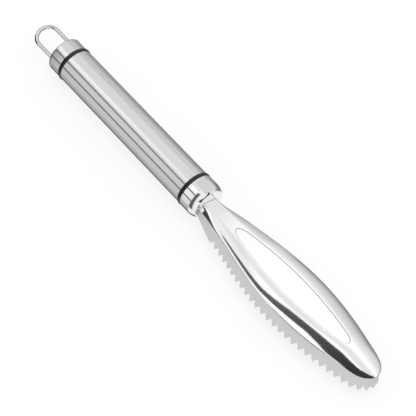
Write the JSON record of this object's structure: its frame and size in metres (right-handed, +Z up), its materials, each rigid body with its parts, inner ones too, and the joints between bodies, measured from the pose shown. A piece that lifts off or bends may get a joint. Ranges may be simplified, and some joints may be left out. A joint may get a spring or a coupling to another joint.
{
  "type": "fish scaler",
  "caption": "Fish scaler with a leaf-shaped pressed head, a toothed skirt under its rim, a round tube handle with dark rings and a wire hanging loop.",
  "frame": {"origin": "middle of the part's plan, at the height of the lowest point of the handle's rings", "axes": "+X along the handle from the hanging loop to the tip of the head, +Z up, teeth point down"},
  "size_m": [0.2368, 0.0344, 0.0187],
  "materials": {
    "pressed_steel": "polished top, matte skirt",
    "polished_steel": "polished",
    "brushed_steel": "brushed round the handle",
    "steel_wire": "bright drawn",
    "black_ring": "semi-gloss"
  },
  "bodies": {
    "root": {"scaler_head": "pressed_steel", "ferrule": "polished_steel", "front_ring": "black_ring", "handle_tube": "brushed_steel", "rear_ring": "black_ring", "rear_cap": "brushed_steel", "hanging_loop": "steel_wire"}
  },
  "joints": []
}
